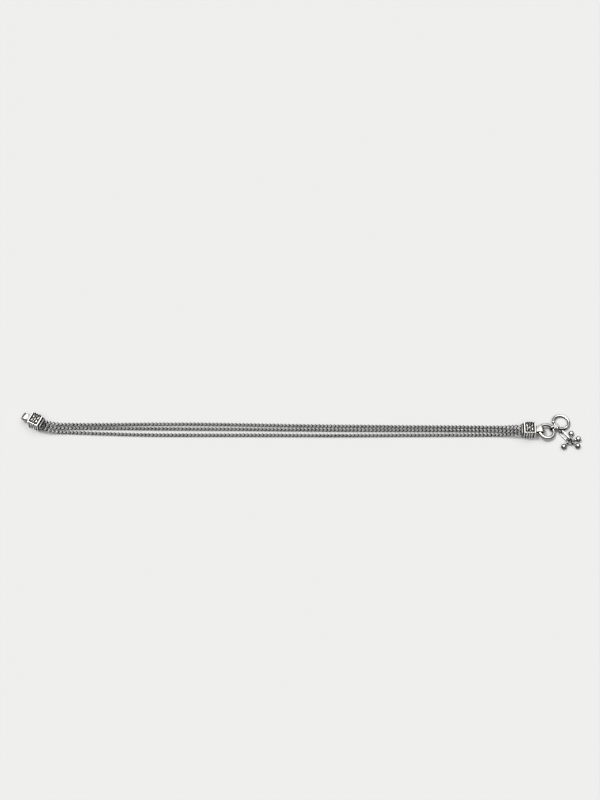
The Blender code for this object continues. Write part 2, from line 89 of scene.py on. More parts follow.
def evaluatedMesh(thing):
    # The mesh as its modifiers leave it; the thing itself goes
    bpy.context.view_layer.update()
    seen = thing.evaluated_get(bpy.context.evaluated_depsgraph_get())
    mesh = bpy.data.meshes.new_from_object(seen)
    bpy.data.objects.remove(thing)
    return mesh


def finished(name, mesh, material, node, sharpAngle=None):
    # Every piece rides on the one body, in its node's place, with one of the record's finishes
    mesh.shade_smooth()
    if sharpAngle:
        mesh.set_sharp_from_angle(angle=math.radians(sharpAngle))
    mesh.materials.clear()
    mesh.materials.append(material)
    piece = linked(name, mesh)
    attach(piece, "root")
    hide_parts(node)
    triangles = sum(len(face.vertices) - 2 for face in mesh.polygons)
    print(name, "takes the place of", node, "with", triangles, "triangles")


# Finishes: polished silver with black oxide and painted shade, one for the chains, one for wire and one for
# castings

chainFinish = {
    "bright": (0.46, 0.455, 0.44, 1),
    "aged": (0.34, 0.335, 0.31, 1),      # where the polish has yellowed
    "oxideAndShade": (0.016, 0.015, 0.014, 1),
    "oxideAndShadeReach": 0.24,                     # how near other metal or the floor darkens it: oxide in the crevices, painted shade by the floor
    "darkAt": 0.42,                      # share of polish and painted shade up to which all is black
    "brightAt": 0.95,                    # share of polish from which none is
    "roughBright": 0.20,
    "roughDark": 0.50,
    "agedScale": 500.0,
    "scratchScale": 6000.0,
    "scratchDepth": 0.006,
}

wireFinish = {
    "bright": (0.84, 0.835, 0.81, 1),
    "aged": (0.70, 0.69, 0.645, 1),
    "oxideAndShade": (0.020, 0.019, 0.017, 1),
    # the wire's reach takes in the floor, so the wire is painted darker where it lies near it, as shade
    "oxideAndShadeReach": 0.80,
    "darkAt": 0.42,
    "brightAt": 0.95,
    "roughBright": 0.12,
    "roughDark": 0.45,
    "agedScale": 350.0,
    "scratchScale": 3500.0,
    "scratchDepth": 0.010,
    "litFrom": 0.32,                  # how far a face looks up, 1 being straight up
    "litTo": 0.80,
    "sideShade": 0.46,                  # how bright the sides and underside stay under the painted shade
}

castFinish = {
    "bright": (0.88, 0.875, 0.85, 1),
    "aged": (0.74, 0.73, 0.68, 1),
    "oxideAndShade": (0.014, 0.013, 0.012, 1),
    "oxideAndShadeReach": 0.22,
    "darkAt": 0.46,
    "brightAt": 0.90,
    "roughBright": 0.20,
    "roughDark": 0.60,
    "agedScale": 700.0,
    "scratchScale": 3000.0,
    "scratchDepth": 0.020,
}

# Unevenness that the three finishes share
wear = {
    "patchScale": 3.0,                   # times the finish's agedScale
    "patchDepth": 0.35,
    "smudgeScale": 5.0,                  # times the finish's agedScale
    "smudgeRough": 0.10,
    "scratchDetail": 5.0,
    "scratchShow": 0.6,
}


def nodeMaterial(name):
    material = bpy.data.materials.new(name)
    material.use_nodes = True
    return material, material.node_tree.nodes["Principled BSDF"]


def noise(tree, spot, scale, detail=3.0):
    grain = tree.nodes.new("ShaderNodeTexNoise")
    grain.inputs["Scale"].default_value = scale
    grain.inputs["Detail"].default_value = detail
    tree.links.new(spot.outputs["Object"], grain.inputs["Vector"])
    return grain.outputs["Fac"]


def maths(tree, operation, first, second):
    step = tree.nodes.new("ShaderNodeMath")
    step.operation = operation
    for socket, value in zip(step.inputs, (first, second)):
        if isinstance(value, float):
            socket.default_value = value
        else:
            tree.links.new(value, socket)
    return step.outputs[0]


def bareAndLitShare(tree, spot, look):
    # From 0 where all is dark, as oxide in the crevices and as painted shade near the floor and wherever
    # the pieces carry it, to 1 where the metal stands proud and is bare
    openness = tree.nodes.new("ShaderNodeAmbientOcclusion")
    openness.samples = 8
    openness.inputs["Distance"].default_value = look["oxideAndShadeReach"] * mm
    polishAndShade = tree.nodes.new("ShaderNodeAttribute")
    polishAndShade.attribute_name = "polishAndShade"
    litOrBare = maths(tree, "MULTIPLY", openness.outputs["AO"], polishAndShade.outputs["Fac"])
    patches = noise(tree, spot, look["agedScale"] * wear["patchScale"])
    uneven = maths(tree, "MULTIPLY", maths(tree, "SUBTRACT", patches, 0.5), wear["patchDepth"])
    share = tree.nodes.new("ShaderNodeMapRange")
    share.inputs["From Min"].default_value = look["darkAt"]
    share.inputs["From Max"].default_value = look["brightAt"]
    tree.links.new(maths(tree, "ADD", litOrBare, uneven), share.inputs["Value"])
    return share.outputs["Result"]


def silverColour(tree, spot, look, share):
    aged = tree.nodes.new("ShaderNodeMix")
    aged.data_type = "RGBA"
    aged.inputs["A"].default_value = look["bright"]
    aged.inputs["B"].default_value = look["aged"]
    tree.links.new(noise(tree, spot, look["agedScale"]), aged.inputs["Factor"])
    wornOrShaded = tree.nodes.new("ShaderNodeMix")
    wornOrShaded.data_type = "RGBA"
    wornOrShaded.inputs["A"].default_value = look["oxideAndShade"]
    tree.links.new(share, wornOrShaded.inputs["Factor"])
    tree.links.new(aged.outputs["Result"], wornOrShaded.inputs["B"])
    return wornOrShaded.outputs["Result"]


def silverRoughness(tree, spot, look, share):
    rough = tree.nodes.new("ShaderNodeMapRange")
    rough.inputs["To Min"].default_value = look["roughDark"]
    rough.inputs["To Max"].default_value = look["roughBright"]
    tree.links.new(share, rough.inputs["Value"])
    smudges = noise(tree, spot, look["agedScale"] * wear["smudgeScale"])
    smudged = maths(tree, "MULTIPLY", smudges, wear["smudgeRough"])
    return maths(tree, "ADD", rough.outputs["Result"], smudged)


def scratches(tree, spot, look):
    bump = tree.nodes.new("ShaderNodeBump")
    bump.inputs["Distance"].default_value = look["scratchDepth"] * mm
    bump.inputs["Strength"].default_value = wear["scratchShow"]
    tree.links.new(noise(tree, spot, look["scratchScale"], wear["scratchDetail"]), bump.inputs["Height"])
    return bump.outputs["Normal"]


def silver(name, look):
    material, shader = nodeMaterial(name)
    tree = material.node_tree
    spot = tree.nodes.new("ShaderNodeTexCoord")
    share = bareAndLitShare(tree, spot, look)
    shader.inputs["Metallic"].default_value = 1.0
    tree.links.new(silverColour(tree, spot, look, share), shader.inputs["Base Color"])
    tree.links.new(silverRoughness(tree, spot, look, share), shader.inputs["Roughness"])
    tree.links.new(scratches(tree, spot, look), shader.inputs["Normal"])
    return material


chainSilver = silver("chainSilver", chainFinish)
wireSilver = silver("wireSilver", wireFinish)
castSilver = silver("castSilver", castFinish)
print("three silver finishes are ready")


# Shapes that several pieces share

def addBall(shape, size, place, segments=32, rings=20):
    half = sized(size[0] / 2 * mm, size[1] / 2 * mm, size[2] / 2 * mm)
    ball = bmesh.ops.create_uvsphere(shape, u_segments=segments, v_segments=rings, radius=1.0,
                                     matrix=place @ half)
    return ball["verts"]


def addRod(shape, diameter, length, place, segments=32):
    bmesh.ops.create_cone(shape, cap_ends=True, segments=segments, radius1=diameter / 2 * mm,
                          radius2=diameter / 2 * mm, depth=length * mm, matrix=place)


def addRing(shape, diameter, wire, place, segments=96, sides=24, sweep=360.0):
    # Round wire bent in its own plane, its middle line of the given diameter, starting on +X
    whole = sweep >= 360.0
    start = moved(diameter / 2, 0, 0) @ turned(90, "X")
    section = bmesh.ops.create_circle(shape, cap_ends=not whole, segments=sides,
                                      radius=wire / 2 * mm, matrix=start)["verts"]
    before = set(shape.verts) - set(section)
    bmesh.ops.spin(shape, geom=section + edgesOf(section) + facesOf(section), cent=(0, 0, 0),
                   axis=(0, 0, 1), angle=math.radians(sweep), steps=segments, use_merge=whole)
    made = [vert for vert in shape.verts if vert not in before]
    bmesh.ops.transform(shape, matrix=place, verts=made)
    bmesh.ops.recalc_face_normals(shape, faces=facesOf(made))


def cutOut(body, tool):
    # The body with the tool's shape cut out of it
    thing = linked("body", meshFrom("body", body))
    cutter = linked("tool", meshFrom("tool", tool))
    cut = thing.modifiers.new("cut", "BOOLEAN")
    cut.operation = "DIFFERENCE"
    cut.solver = "EXACT"
    cut.object = cutter
    result = bmesh.new()
    result.from_mesh(evaluatedMesh(thing))
    bpy.data.objects.remove(cutter)
    return result


def soldered(name, shape, voxel):
    # Closed shapes that overlap become one skin, with the small fillets that solder leaves
    thing = linked(name, meshFrom(name, shape))
    skin = thing.modifiers.new("skin", "REMESH")
    skin.mode = "VOXEL"
    skin.voxel_size = voxel * mm
    skin.adaptivity = 0.0
    soften = thing.modifiers.new("soften", "SMOOTH")
    soften.factor = 0.5
    soften.iterations = 3
    return evaluatedMesh(thing)


def setPolishAndShade(mesh, share):
    # The share of polish at each point, less any painted shade, which the finishes read
    layer = mesh.attributes.new("polishAndShade", "FLOAT", "POINT")
    for vert, value in zip(mesh.vertices, layer.data):
        value.value = share(vert.co / mm)
    return mesh


def paintedShadeBelow(mesh):
    # Painted shade: the sides and underside of a piece are darker, and it is lighter where it faces up
    low, high, side = wireFinish["litFrom"], wireFinish["litTo"], wireFinish["sideShade"]
    for vert, value in zip(mesh.vertices, mesh.attributes["polishAndShade"].data):
        value.value *= side + (1 - side) * eased((vert.normal.z - low) / (high - low))
    return mesh


# End caps: cast blocks with a flowered panel on each long side, a collar and an oval band

cap = {
    "side": 5.9,
    "length": 5.5,
    "edgeRound": 0.22,
    "cuts": 63,                          # of the block's edges, for the relief
    "flange": 0.44,                      # bright plate at each end
    "edgeRim": 0.20,                     # rim along the other edges, between its scallops
    "scallop": 0.26,
    "scallops": 4,
    "groundDepth": 0.42,
    "wallRun": 0.10,                     # width of the slope from the rim to the ground
    "ornamentFade": 0.05,                # width over which the ornament starts inside the rim
    "groundPolish": 0.25,
    "reliefPolish": 1.3,                 # added where the ornament stands up to the rim
    # painted shade on the block's end faces, darker than the panels' rims
    "endShade": 0.62,
    "rightPlace": (107.75, 0.0),
    "rightTurn": 0.0,
    "leftPlace": (-125.4, 4.5),
    "leftTurn": 155.0,
}

# A quarter of a panel's ornament, which is mirrored both ways from the panel's middle
flower = {
    "bud": (0.34, 0.92),
    "petal": (0.45, 0.72),
    "petalAt": (1.20, 0.90),
    "petalLean": 22.0,
    "leafPoint": 0.6,                    # 0.5 makes an ellipse, more makes its ends pointed
    "leafDroop": 0.15,                   # how much lower its ends lie
    "leafThinnest": 0.02,
    "vein": 0.08,
    "veinDepth": 0.4,
    "veinFade": 2.2,                     # 1 fades it along the whole leaf, more only near its ends
    "arcAt": 1.92,
    "arcRadius": 0.60,
    "arcHalf": 0.11,
    "arcHeight": 0.85,                   # share of the panel's depth
    "dotHeight": 0.95,
    "dots": [(0.0, 1.90, 0.25), (1.24, 1.96, 0.24), (1.62, 0.0, 0.17), (0.62, 0.0, 0.13)],
}

collar = {
    "length": 1.1,
    "wide": 5.3,
    "high": 3.7,
    "bevel": 0.4,
    "wall": 0.45,
    "mouthDepth": 0.7,
    "mouthTaper": 0.04,
    "polishAndShade": 0.66,
    # painted shade in the open mouth
    "mouthShade": 0.1,
}

band = {
    "reach": 4.6,
    "high": 3.3,
    "wide": 3.0,
    "wall": 0.55,
    "sunk": 0.5,                         # into the block
    "bevel": 0.12,
    "steps": 56,                         # round the oval
    "rimAngle": 1.0,                     # radians; edges sharper than this are bevelled
    "insideFrom": 0.6,                   # share of the wall, from outside, where the inside starts
    # painted shade inside the band and at its root, next to the block
    "insideShade": 0.6,
    "rootReach": 0.8,                    # of the painted shade next to the block
    "rootShade": 0.45,
}


def capPlace(side):
    # Middle of a cap, with +X towards its band
    x, y = cap[side + "Place"]
    return moved(x, y, cap["side"] / 2) @ turned(cap[side + "Turn"], "Z")


def dome(distance, radius):
    # Height of a round bead, as a share of its radius
    return math.sqrt(max(0.0, 1.0 - (distance / radius) ** 2))


def leaf(along, across, half, veined=True):
    # An oval leaf with a vein, its long way across the panel
    share = across / half[1]
    width = half[0] * max(0.0, 1 - share * share) ** flower["leafPoint"]
    if width < flower["leafThinnest"]:
        return 0.0
    height = dome(along, width) * (1 - flower["leafDroop"] * abs(share))
    if veined:
        groove = flower["veinDepth"] * math.exp(-(along / flower["vein"]) ** 2)
        height -= groove * eased(flower["veinFade"] * (1 - abs(share)))
    return height


def flowerHeight(along, across):
    # Share of the panel's depth that the ornament stands up, at a point measured from the panel's middle
    x, y = abs(along), abs(across)
    height = leaf(x, y, flower["bud"], veined=False)
    lean = math.radians(flower["petalLean"])
    left, up = x - flower["petalAt"][0], y - flower["petalAt"][1]
    run = left * math.cos(lean) - up * math.sin(lean)
    off = left * math.sin(lean) + up * math.cos(lean)
    height = max(height, leaf(run, off, flower["petal"]))
    if y < flower["arcAt"]:
        arc = math.hypot(x, y - flower["arcAt"]) - flower["arcRadius"]
        height = max(height, flower["arcHeight"] * dome(arc, flower["arcHalf"]))
    for spotX, spotY, radius in flower["dots"]:
        height = max(height, flower["dotHeight"] * dome(math.hypot(x - spotX, y - spotY), radius))
    return height


def panelRelief(along, across, half):
    # How far a point is sunk, from 0 on the scalloped rim to 1, and how high the ornament stands there
    panel = half.x - cap["flange"]
    wave = abs(math.cos(math.pi * cap["scallops"] * (along + panel) / (2 * panel)))
    rim = cap["edgeRim"] + cap["scallop"] * (1 - wave)
    inside = min(panel - abs(along), half.y - abs(across) - rim)
    height = flowerHeight(along, across) * eased(inside / cap["ornamentFade"])
    return eased(inside / cap["wallRun"]), height


def capBlock(shape):
    # A finely cut cube, 2 across, its points moved to the rounded block and sunk in its four panels
    cube = bmesh.ops.create_cube(shape, size=2.0)
    bmesh.ops.subdivide_edges(shape, edges=edgesOf(cube["verts"]), cuts=cap["cuts"], use_grid_fill=True)
    polishAndShade = shape.verts.layers.float.new("polishAndShade")
    half = Vector((cap["length"] / 2, cap["side"] / 2, cap["side"] / 2))
    soft = cap["edgeRound"]
    onFace = 0.999
    for vert in shape.verts:
        unit = vert.co.copy()
        spot = Vector((unit.x * half.x, unit.y * half.y, unit.z * half.z))
        core = Vector([max(soft - side, min(side - soft, value)) for value, side in zip(spot, half)])
        rounded = core + (spot - core).normalized() * soft
        vert[polishAndShade] = 1.0
        # The end faces are painted darker, as shade
        if abs(unit.x) > onFace:
            vert[polishAndShade] = cap["endShade"]
        elif max(abs(unit.y), abs(unit.z)) > onFace:
            if abs(unit.y) > onFace:
                out, across = Vector((0, math.copysign(1, unit.y), 0)), spot.z
            else:
                out, across = Vector((0, 0, math.copysign(1, unit.z))), spot.y
            sunk, height = panelRelief(spot.x, across, half)
            rounded -= out * cap["groundDepth"] * sunk * (1 - height)
            vert[polishAndShade] = 1.0 - sunk * (1 - min(1.0, cap["groundPolish"] + cap["reliefPolish"] * height))
        vert.co = rounded * mm


def addCollar(shape):
    # Soldered over the chains' ends, with an open mouth that they run into
    long = collar["length"] + cap["flange"] / 2 + collar["bevel"]
    middle = -cap["length"] / 2 - collar["length"] + long / 2
    size = sized(long * mm, collar["wide"] * mm, collar["high"] * mm)
    box = bmesh.ops.create_cube(shape, size=1.0, matrix=moved(middle, 0, 0) @ size)
    bmesh.ops.bevel(shape, geom=edgesOf(box["verts"]), offset=collar["bevel"] * mm, segments=4,
                    profile=0.5, affect="EDGES", material=-1)
    mouth = min(shape.faces, key=lambda face: face.calc_center_median().x)
    lip = collar["wall"] - collar["bevel"]
    bmesh.ops.inset_individual(shape, faces=[mouth], thickness=lip * mm, depth=0.0)
    bmesh.ops.inset_individual(shape, faces=[mouth], thickness=collar["mouthTaper"] * mm,
                               depth=-collar["mouthDepth"] * mm)
    return mouth


def bandOval():
    # Length of the band's oval, and how far its middle lies from the block's
    return band["reach"] + band["sunk"], cap["length"] / 2 + (band["reach"] - band["sunk"]) / 2


def addBand(shape):
    # Flat strip bent into an oval, its hole crosswise
    long, middle = bandOval()
    upright = moved(middle, band["wide"] / 2, 0) @ turned(90, "X")
    rims = []
    for thinner in (0, band["wall"]):
        oval = sized((long / 2 - thinner) * mm, (band["high"] / 2 - thinner) * mm, 1.0)
        circle = bmesh.ops.create_circle(shape, cap_ends=False, segments=band["steps"], radius=1.0,
                                         matrix=upright @ oval)
        rims += edgesOf(circle["verts"])
    side = bmesh.ops.bridge_loops(shape, edges=rims)
    grown = bmesh.ops.extrude_face_region(shape, geom=side["faces"])
    far = [item for item in grown["geom"] if isinstance(item, bmesh.types.BMVert)]
    bmesh.ops.translate(shape, verts=far, vec=(0, -band["wide"] * mm, 0))
    walls = facesOf(far)
    strip = list(dict.fromkeys(near for face in walls for edge in face.edges for near in edge.link_faces))
    bmesh.ops.recalc_face_normals(shape, faces=strip)
    edges = dict.fromkeys(edge for face in strip for edge in face.edges)
    sharp = [edge for edge in edges if edge.calc_face_angle(0) > band["rimAngle"]]
    bmesh.ops.bevel(shape, geom=sharp, offset=band["bevel"] * mm, segments=3, profile=0.5,
                    affect="EDGES", material=-1)


def fittingShade(spot, inMouth):
    # Painted shade: the collar, its mouth, the inside of the band and the band's root are darker than the
    # rest
    if inMouth:
        return collar["mouthShade"]
    if spot.x < 0:
        return collar["polishAndShade"]
    long, middle = bandOval()
    out = math.hypot((spot.x - middle) / (long / 2), spot.z / (band["high"] / 2))
    inner = out < 1 - band["insideFrom"] * band["wall"] / (band["high"] / 2)
    root = eased((spot.x - cap["length"] / 2) / band["rootReach"])
    most = band["insideShade"] if inner else 1.0
    return most * (band["rootShade"] + (1 - band["rootShade"]) * root)


def endCap(side):
    block = bmesh.new()
    capBlock(block)
    fittings = bmesh.new()
    mouth = set(addCollar(fittings).verts)
    polishAndShade = fittings.verts.layers.float.new("polishAndShade")
    addBand(fittings)
    for vert in fittings.verts:
        vert[polishAndShade] = fittingShade(vert.co / mm, vert in mouth)
    thing = linked(side + "Cap", meshFrom(side + "Cap", block))
    added = linked(side + "Fittings", meshFrom(side + "Fittings", fittings))
    solder = thing.modifiers.new("solder", "BOOLEAN")
    solder.operation = "UNION"
    solder.solver = "EXACT"
    solder.object = added
    mesh = evaluatedMesh(thing)
    bpy.data.objects.remove(added)
    mesh.transform(capPlace(side))
    finished(side + "Cap", mesh, castSilver, side + "_end_cap", sharpAngle=50)


endCap("right")
endCap("left")


# Chains of folded links: each link's two round ends close on the bend of the next one

chain = {
    "diameter": 1.6,
    "pitch": 1.80,
    "wire": 0.37,
    "sides": 5,                          # of the wire
    "linkLength": 2.25,
    "roll": 29.0,                        # turns the links' bends to the viewer
    "sway": 7.0,                         # slow twist to and fro along a chain
    "swayWaves": 5.0,
    "intoCollar": 0.45,
    "spacing": 1.85,                     # between the chains, at the collars
    "routeSteps": 10,
    # along, across and rise of a link's arm, from the bend to the round end
    "bendToEnd": [(0.00, 0.15, 0.12), (0.72, 0.32, 0.70), (1.45, 0.38, 0.26), (2.25, 0.00, 0.14)],
    "bendShade": 0.30,                  # painted shade: the bend and the round ends stay dark, where the links cross
    "litFrom": 0.80,                  # the arms are left bright from this far behind the bend
    "litTo": 1.95,
    "litFade": 0.25,
}

# The chains' chosen points between the collars, as the solids have them
chainRoutes = {
    "strand_back": [
        (-117.6, 4.10, 1.75), (-113.6, 3.95, 1.10), (-108.5, 3.95, 0.84), (-93.5, 3.98, 0.81),
        (-70.9, 4.22, 0.81), (-48.2, 4.20, 0.81), (-25.5, 3.88, 0.81), (-2.8, 3.42, 0.81),
        (19.9, 3.12, 0.81), (42.6, 2.90, 0.81), (65.3, 2.78, 0.81), (85.5, 2.60, 0.83),
        (93.2, 2.45, 1.02), (98.2, 2.20, 1.75),
    ],
    "strand_middle": [
        (-117.7, 2.05, 1.75), (-113.6, 1.96, 1.10), (-108.5, 2.02, 0.84), (-93.5, 2.05, 0.81),
        (-70.9, 1.86, 0.81), (-48.2, 1.68, 0.81), (-25.5, 1.53, 0.81), (-2.8, 1.28, 0.81),
        (19.9, 1.10, 0.81), (42.6, 0.98, 0.81), (65.3, 0.88, 0.81), (85.5, 0.70, 0.83),
        (93.2, 0.52, 1.02), (98.2, 0.26, 1.75),
    ],
    "strand_front": [
        (-117.8, -0.02, 1.75), (-113.6, -0.16, 1.10), (-108.5, -0.26, 0.84), (-93.5, -0.85, 0.81),
        (-70.9, -1.52, 0.81), (-48.2, -1.62, 0.81), (-25.5, -1.65, 0.81), (-2.8, -1.72, 0.81),
        (19.9, -1.80, 0.81), (42.6, -1.70, 0.81), (65.3, -1.62, 0.81), (85.5, -1.55, 0.83),
        (93.2, -1.60, 1.02), (98.2, -1.70, 1.75),
    ],
}


def collarExit(side, across):
    # Point on a collar's face where a chain comes out, and the way it runs
    place = capPlace(side)
    face = -(cap["length"] / 2 + collar["length"]) * mm
    return place @ Vector((face, across * mm, 0)), place.to_3x3() @ Vector((-1, 0, 0))


def smoothRoute(points, steps):
    # Catmull-Rom through the chosen points
    padded = [2 * points[0] - points[1]] + points + [2 * points[-1] - points[-2]]
    route = []
    for a, b, c, d in zip(padded, padded[1:], padded[2:], padded[3:]):
        for step in range(steps):
            t = step / steps
            route.append(0.5 * (2 * b + (c - a) * t + (2 * a - 5 * b + 4 * c - d) * t * t
                                + (3 * b - a - 3 * c + d) * t * t * t))
    return route + [points[-1]]


def chainRoute(node, row):
    # From inside the left collar to inside the right one; the left cap lies turned, so its rows swap
    across = row * chain["spacing"]
    chosen = [Vector(point) * mm for point in chainRoutes[node]]
    left, leftWay = collarExit("left", -across)
    right, rightWay = collarExit("right", across)
    hidden, free = -chain["intoCollar"] * mm, chain["diameter"] * mm
    points = [left + leftWay * hidden, left + leftWay * free] + chosen
    points += [right + rightWay * free, right + rightWay * hidden]
    return smoothRoute(points, chain["routeSteps"])


def wireCurve(name, points, closed=False):
    curve = bpy.data.curves.new(name, "CURVE")
    curve.dimensions = "3D"
    spline = curve.splines.new("POLY")
    spline.points.add(len(points) - 1)
    for spot, point in zip(spline.points, points):
        spot.co = (*point, 1.0)
    spline.use_cyclic_u = closed
    return curve


def foldedLink():
    # A ring pinched flat and folded in two, with its bend at x = 0 and both round ends behind it
    arm = [Vector((-along, across, rise)) for along, across, rise in chain["bendToEnd"]]
    half = arm + [Vector((point.x, -point.y, point.z)) for point in reversed(arm[:-1])]
    under = [Vector((point.x, point.y, -point.z)) for point in reversed(half)]
    sides = [360 * number / chain["sides"] for number in range(chain["sides"])]
    outline = [heading(degrees) * chain["wire"] / 2 * mm for degrees in sides]
    section = linked("wireSection", wireCurve("wireSection", outline, closed=True))
    curve = wireCurve("foldedLink", [point * mm for point in half + under], closed=True)
    curve.twist_mode = "MINIMUM"
    curve.bevel_mode = "OBJECT"
    curve.bevel_object = section
    mesh = evaluatedMesh(linked("foldedLink", curve))
    bpy.data.objects.remove(section)
    return mesh


def shadedLink():
    # The link with painted shade on its bend and round ends, its bend foremost along +X, as the chains
    # repeat it
    shape = bmesh.new()
    shape.from_mesh(foldedLink())
    bmesh.ops.recalc_face_normals(shape, faces=shape.faces)
    polishAndShade = shape.verts.layers.float.new("polishAndShade")
    for vert in shape.verts:
        behind = -vert.co.x / mm
        litOrBare = eased(min(behind - chain["litFrom"], chain["litTo"] - behind) / chain["litFade"])
        vert[polishAndShade] = chain["bendShade"] + (1 - chain["bendShade"]) * litOrBare
    lead = moved(chain["linkLength"], 0, 0) @ turned(chain["roll"] - 90, "X")
    bmesh.ops.transform(shape, matrix=lead, verts=shape.verts)
    print("one link has", len(shape.faces), "faces")
    return meshFrom("shadedLink", shape)


def swayingGuide(route, row):
    curve = wireCurve("guide", route)
    curve.twist_mode = "Z_UP"
    for number, spot in enumerate(curve.splines[0].points):
        along = number / len(route)
        spot.tilt = math.radians(chain["sway"]) * math.sin(2 * math.pi * chain["swayWaves"] * along + row)
    return linked("guide", curve)


def linkedChain(node, row, pattern):
    route = chainRoute(node, row)
    length = sum((b - a).length for a, b in zip(route, route[1:])) / mm
    run = length - chain["linkLength"]
    count = round(run / chain["pitch"]) + 1
    pitch = run / (count - 1)
    thing = linked(node, pattern)
    repeat = thing.modifiers.new("repeat", "ARRAY")
    repeat.use_relative_offset = False
    repeat.use_constant_offset = True
    repeat.constant_offset_displace = (pitch * mm, 0, 0)
    repeat.count = count
    guide = swayingGuide(route, row)
    bend = thing.modifiers.new("bend", "CURVE")
    bend.object = guide
    mesh = evaluatedMesh(thing)
    bpy.data.objects.remove(guide)
    print(node, "is", round(length, 1), "mm long, with", count, "links")
    finished("chain" + node.split("_")[1].capitalize(), mesh, chainSilver, node)


linkPattern = shadedLink()
for row, node in ((1, "strand_back"), (0, "strand_middle"), (-1, "strand_front")):
    linkedChain(node, row, linkPattern)


# Jump ring in the right band's hole, and the hook that hangs on it

jumpRing = {
    "diameter": 8.5,
    "wire": 1.4,
    "sideShift": -0.3,
    "seam": 0.9,                         # degrees of the ring
    "seamAt": 160.0,
    "heldPolish": 0.62,                  # where it lies in the hook's eye
    "heldReach": 2.2,                    # from the eye's middle, and it fades over as much again
}

hook = {
    "diameter": 8.8,
    "wire": 1.4,
    "heading": 37.0,                     # from the jump ring's middle
    "apart": 0.35,                       # between the two rings' outsides
    "jointAt": 230.0,                    # round the hook
    "jointHeight": 1.7,
    "jointBead": 1.56,
    "sweep": 313.0,                      # from the joint to the tip
    "tip": 1.56,
    "eyeWire": 0.76,
    "eyePlay": 0.25,
    "eyeAt": 36.0,                       # round the jump ring
    "dropEyeWire": 0.6,
    "dropEyeAt": 263.0,                  # round the hook
    "dropEyeLean": 30.0,
    "dropEyeLift": 0.05,
    "voxel": 0.065,
    "jointPolish": 0.62,                 # under the rosette, and on both eyes
    "jointReach": (1.9, 3.2),            # from their middles, where the polish starts and ends its rise
}

rosette = {
    "shift": (-0.42, -0.44),             # from the joint
    "base": 2.4,
    "thickness": 0.4,
    "petals": 6,
    "petalLength": 1.2,
    "petalWidth": 0.95,
    "petalCircle": 1.05,
    "petalHeight": 0.42,
    "centre": 1.1,
    "collet": 1.25,                      # round wire about the centre
    "colletWire": 0.2,
    "colletLift": 0.8,                   # share of the petals' height
    "post": 1.4,
    "clearance": 0.3,                    # over the jump ring
    "crownFrom": 0.9,                    # share of the base's thickness where the polish starts its rise
    "crownPolish": 0.84,                 # of the petals' and the bead's crowns
}


def eyeRadius():
    return jumpRing["wire"] / 2 + hook["eyePlay"] + hook["eyeWire"] / 2


def jumpRadius():
    return (jumpRing["diameter"] - jumpRing["wire"]) / 2


def hookRadius():
    return (hook["diameter"] - hook["wire"]) / 2


def jumpRingPlace():
    # It hangs in the band's hole at one side and lies in the hook's eye at the other
    bandMiddle = bandOval()[1]
    held = capPlace("right") @ Vector((bandMiddle * mm, jumpRing["sideShift"] * mm, 0))
    eyeHeight = eyeRadius() + hook["eyeWire"] / 2
    drop = held.z / mm - eyeHeight
    dip = math.asin(drop / (jumpRadius() * (1 + math.cos(math.radians(hook["eyeAt"])))))
    tilt = Matrix.Rotation(dip, 4, "Y")
    return Matrix.Translation(held + tilt @ Vector((jumpRadius() * mm, 0, 0))) @ tilt


def hookPlace():
    # Middle of the hook's ring, with +X towards the joint and sloping up to it
    apart = (jumpRing["diameter"] + hook["diameter"]) / 2 + hook["apart"]
    middle = jumpRingPlace().translation + apart * mm * heading(hook["heading"])
    low = hook["wire"] / 2
    middle.z = (hook["jointHeight"] + low) / 2 * mm
    rise = math.asin((hook["jointHeight"] - low) / (2 * hookRadius()))
    return Matrix.Translation(middle) @ turned(hook["jointAt"], "Z") @ Matrix.Rotation(-rise, 4, "Y")


def hookEyeMiddle():
    return jumpRingPlace() @ (jumpRadius() * mm * heading(hook["eyeAt"]))


def dropEyeRadius():
    return link["wire"] / 2 + link["play"] + hook["dropEyeWire"] / 2


def dropEyeMiddle():
    inner = dropEyeRadius() - hook["dropEyeWire"] / 2
    spot = hookPlace().translation + heading(hook["dropEyeAt"]) * (hook["diameter"] / 2 + inner) * mm
    spot.z = (dropEyeRadius() + hook["dropEyeWire"] / 2 + hook["dropEyeLift"]) * mm
    return spot


def uprightRing(middle, way, lean=0.0):
    return Matrix.Translation(middle) @ turned(way, "Z") @ turned(90 + lean, "X")


def makeJumpRing():
    shape = bmesh.new()
    place = jumpRingPlace() @ turned(jumpRing["seamAt"], "Z")
    addRing(shape, 2 * jumpRadius(), jumpRing["wire"], place, sweep=360 - jumpRing["seam"])
    eye = hookEyeMiddle() / mm

    def share(spot):
        return 1 - (1 - jumpRing["heldPolish"]) * eased(2 - (spot - eye).length / jumpRing["heldReach"])

    mesh = setPolishAndShade(meshFrom("jumpRing", shape), share)
    finished("jumpRing", paintedShadeBelow(mesh), wireSilver, "jump_ring", sharpAngle=40)


def addRosette(shape, middle, height):
    base = Matrix.Translation((middle.x, middle.y, height * mm)) @ moved(0, 0, rosette["thickness"] / 2)
    addRod(shape, rosette["base"], rosette["thickness"], base, segments=40)
    top = base @ moved(0, 0, rosette["thickness"] / 4)
    size = (rosette["petalLength"], rosette["petalWidth"], 2 * rosette["petalHeight"])
    for number in range(rosette["petals"]):
        turn = turned(360 * number / rosette["petals"], "Z")
        addBall(shape, size, top @ turn @ moved(rosette["petalCircle"], 0, 0))
    addBall(shape, (rosette["centre"],) * 3, top)
    collet = top @ moved(0, 0, rosette["petalHeight"] * rosette["colletLift"])
    addRing(shape, rosette["collet"], rosette["colletWire"], collet, segments=40, sides=12)


def hookPolish(spot, dark, height):
    # Dark round the rosette and both eyes, with only the crowns of the petals and their bead bright
    near, far = hook["jointReach"]
    least = hook["jointPolish"]
    away = min(math.hypot(spot.x - other.x, spot.y - other.y) for other in dark)
    crown = eased((spot.z - height - rosette["thickness"] * rosette["crownFrom"]) / rosette["petalHeight"])
    crown *= (rosette["crownPolish"] - least) / (1 - least)
    return least + (1 - least) * max(eased((away - near) / (far - near)), crown)


